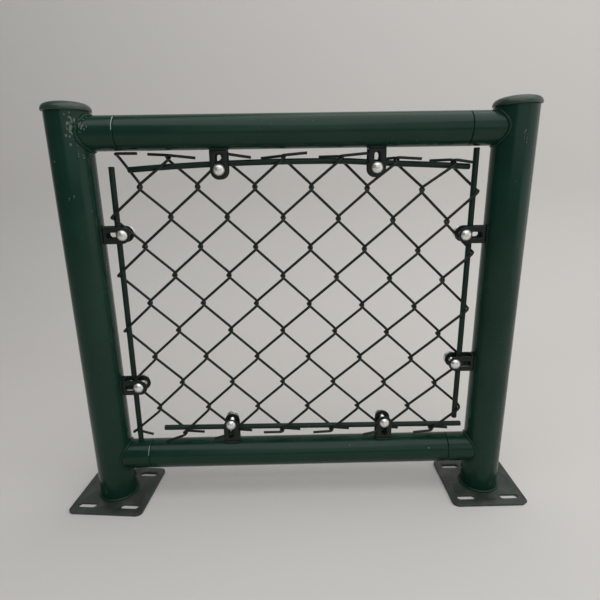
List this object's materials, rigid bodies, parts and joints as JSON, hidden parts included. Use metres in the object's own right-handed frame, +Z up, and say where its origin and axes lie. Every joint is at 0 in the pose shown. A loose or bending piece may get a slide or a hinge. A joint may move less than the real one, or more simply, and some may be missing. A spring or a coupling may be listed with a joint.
{
  "type": "chain link fence bay",
  "caption": "Free-standing bay of chain link fence: round posts on slotted base plates, round rails and a woven wire mesh held by tension bars in bolted clips.",
  "frame": {"origin": "on the floor, midway between the two posts and in the plane of the fence", "axes": "+X along the fence to the right as seen from the front, +Y from the front to the rear, +Z up"},
  "size_m": [0.754, 0.12, 0.6325],
  "materials": {
    "tube_paint": "semi-gloss dark green powder coat, scuffed",
    "cap_plastic": "semi-gloss dark green",
    "bar_paint": "satin dark green",
    "clip_paint": "satin dark green",
    "coated_wire": "satin dark green plastic coating over steel wire",
    "bolt_steel": "bright zinc-plated steel"
  },
  "bodies": {
    "root": {"base_plate_left": "tube_paint", "base_plate_right": "tube_paint", "bolt_bottom_left": "bolt_steel", "bolt_bottom_right": "bolt_steel", "bolt_left_lower": "bolt_steel", "bolt_left_upper": "bolt_steel", "bolt_right_lower": "bolt_steel", "bolt_right_upper": "bolt_steel", "bolt_top_left": "bolt_steel", "bolt_top_right": "bolt_steel", "bottom_rail": "tube_paint", "bottom_stub_left": "tube_paint", "bottom_stub_right": "tube_paint", "clip_bottom_left": "clip_paint", "clip_bottom_right": "clip_paint", "clip_left_lower": "clip_paint", "clip_left_upper": "clip_paint", "clip_right_lower": "clip_paint", "clip_right_upper": "clip_paint", "clip_top_left": "clip_paint", "clip_top_right": "clip_paint", "mesh_panel": "coated_wire", "post_cap_left": "cap_plastic", "post_cap_right": "cap_plastic", "post_left": "tube_paint", "post_right": "tube_paint", "tension_bar_bottom": "bar_paint", "tension_bar_left": "bar_paint", "tension_bar_right": "bar_paint", "tension_bar_top": "bar_paint", "top_rail": "tube_paint", "top_stub_left": "tube_paint", "top_stub_right": "tube_paint"}
  },
  "joints": []
}
